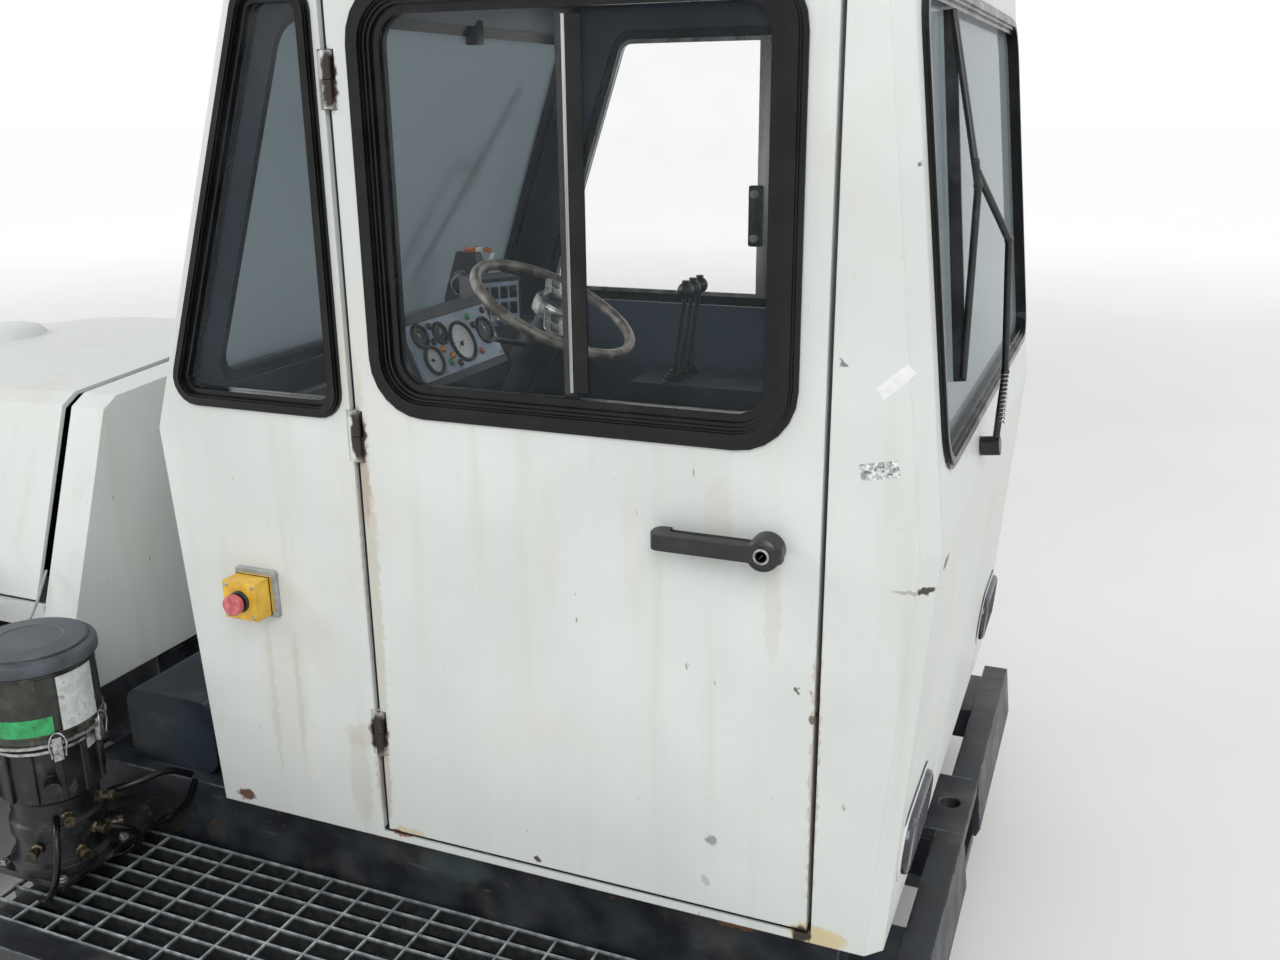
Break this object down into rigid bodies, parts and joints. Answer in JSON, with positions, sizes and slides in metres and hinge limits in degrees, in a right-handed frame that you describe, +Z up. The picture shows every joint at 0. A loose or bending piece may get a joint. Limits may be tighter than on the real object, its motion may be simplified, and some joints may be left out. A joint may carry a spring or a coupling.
{
  "type": "aircraft pushback tractor",
  "caption": "Low tractor that pushes aircraft: upright glazed cab at the rear end with a hinged door, grated walkways, long tilting hood, steered front axle, tow jaws at both ends.",
  "frame": {"origin": "on the ground, at the middle of the overall length and width", "axes": "+X forwards, towards the hood; +Y to the driver's left; +Z up"},
  "size_m": [5.2089, 2.1, 2.25],
  "materials": {
    "white_paint": "satin, weathered",
    "frame_paint": "satin, worn",
    "tank_paint": "satin",
    "rim_paint": "satin",
    "galvanised": "dull galvanised",
    "black_metal": "satin",
    "engine_iron": "oiled",
    "glass": "clear, dusty",
    "rubber": "matt",
    "tyre": "matt",
    "trim_plastic": "matt",
    "seat_cloth": "woven",
    "lamp_lens": "gloss",
    "amber_lens": "gloss",
    "pump_plastic": "matt",
    "reservoir_plastic": "translucent, greasy",
    "aluminium": "anodised",
    "panel_paint": "satin",
    "stop_red": "faded",
    "stop_yellow": "faded"
  },
  "bodies": {
    "chassis": {"main_frame": "frame_paint", "rear_frame": "frame_paint", "rear_bumper": "frame_paint", "front_bumper": "frame_paint", "front_tow_jaw": "frame_paint", "rear_tow_jaw": "frame_paint", "side_steps": "frame_paint", "gratings": "galvanised", "cab_floor": "frame_paint", "cab_side_left": "white_paint", "cab_side_right": "white_paint", "cab_rear_wall": "white_paint", "cab_front_wall": "white_paint", "cab_roof": "white_paint", "cab_glass": "glass", "cab_window_rubbers": "rubber", "window_frame": "aluminium", "dashboard": "trim_plastic", "instrument_panel": "panel_paint", "knob_bracket": "trim_plastic", "hand_controls": "black_metal", "side_console": "trim_plastic", "seat_base": "trim_plastic", "seat": "seat_cloth", "wipers": "black_metal", "lamps": "lamp_lens", "beacon": "amber_lens", "hood_bulkhead": "white_paint", "hood_sills": "white_paint", "front_cowl": "white_paint", "grille": "black_metal", "fenders": "white_paint", "side_boxes": "white_paint", "engine_block": "engine_iron", "oil_tank": "tank_paint", "grease_pump": "pump_plastic", "grease_reservoir": "reservoir_plastic", "emergency_stops": "stop_yellow", "stop_buttons": "stop_red", "rear_axle": "frame_paint", "front_axle": "frame_paint"},
    "hood": {"hood_lid": "white_paint"},
    "wheel_hand": {"steering_wheel": "trim_plastic"},
    "link_rod": {"tie_rod": "frame_paint"},
    "cab_door_left": {"door_left": "white_paint", "door_rubber_left": "rubber", "door_glass_left": "glass", "door_slider_left": "aluminium", "door_handle_left": "black_metal"},
    "hub_left": {"knuckle_left": "frame_paint"},
    "hub_right": {"knuckle_right": "frame_paint"},
    "wheel_front_left": {"tyre_front_left": "tyre", "rim_front_left": "rim_paint"},
    "wheel_front_right": {"tyre_front_right": "tyre", "rim_front_right": "rim_paint"},
    "wheel_rear_left": {"tyre_rear_left": "tyre", "rim_rear_left": "rim_paint"},
    "wheel_rear_right": {"tyre_rear_right": "tyre", "rim_rear_right": "rim_paint"}
  },
  "joints": [
    {"name": "hood_hinge", "type": "hinge", "parent": "chassis", "child": "hood", "pos_m": [1.307, 0, 0.9837], "axis": [0, 1, 0], "range_deg": [0, 50]},
    {"name": "steering_wheel_turn", "type": "hinge", "parent": "chassis", "child": "wheel_hand", "pos_m": [-1.726, 0.175, 1.418], "axis": [-0.4695, 0, 0.8829], "range_deg": [-450, 450]},
    {"name": "steer_left", "type": "hinge", "parent": "chassis", "child": "hub_left", "pos_m": [1.85, 0.735, 0.425], "axis": [0, 0, 1], "range_deg": [-28, 28]},
    {"name": "steer_right", "type": "hinge", "parent": "chassis", "child": "hub_right", "pos_m": [1.85, -0.735, 0.425], "axis": [0, 0, 1], "range_deg": [-28, 28]},
    {"name": "tie_rod_pivot", "type": "hinge", "parent": "hub_left", "child": "link_rod", "pos_m": [1.66, 0.735, 0.52], "axis": [0, 0, 1], "range_deg": [-28, 28]},
    {"name": "door_left_hinge", "type": "hinge", "parent": "chassis", "child": "cab_door_left", "pos_m": [-1.591, 0.672, 1.269], "axis": [0, 0, -1], "range_deg": [0, 85]},
    {"name": "roll_front_left", "type": "hinge", "parent": "hub_left", "child": "wheel_front_left", "pos_m": [1.85, 0.89, 0.425], "axis": [0, 1, 0], "continuous": true},
    {"name": "roll_front_right", "type": "hinge", "parent": "hub_right", "child": "wheel_front_right", "pos_m": [1.85, -0.89, 0.425], "axis": [0, 1, 0], "continuous": true},
    {"name": "roll_rear_left", "type": "hinge", "parent": "chassis", "child": "wheel_rear_left", "pos_m": [-0.15, 0.89, 0.425], "axis": [0, 1, 0], "continuous": true},
    {"name": "roll_rear_right", "type": "hinge", "parent": "chassis", "child": "wheel_rear_right", "pos_m": [-0.15, -0.89, 0.425], "axis": [0, 1, 0], "continuous": true}
  ],
  "couplings": [
    {"joint": "steer_left", "follows": "steering_wheel_turn", "ratio": 0.062222},
    {"joint": "steer_right", "follows": "steering_wheel_turn", "ratio": 0.062222},
    {"joint": "tie_rod_pivot", "follows": "steering_wheel_turn", "ratio": -0.062222}
  ]
}
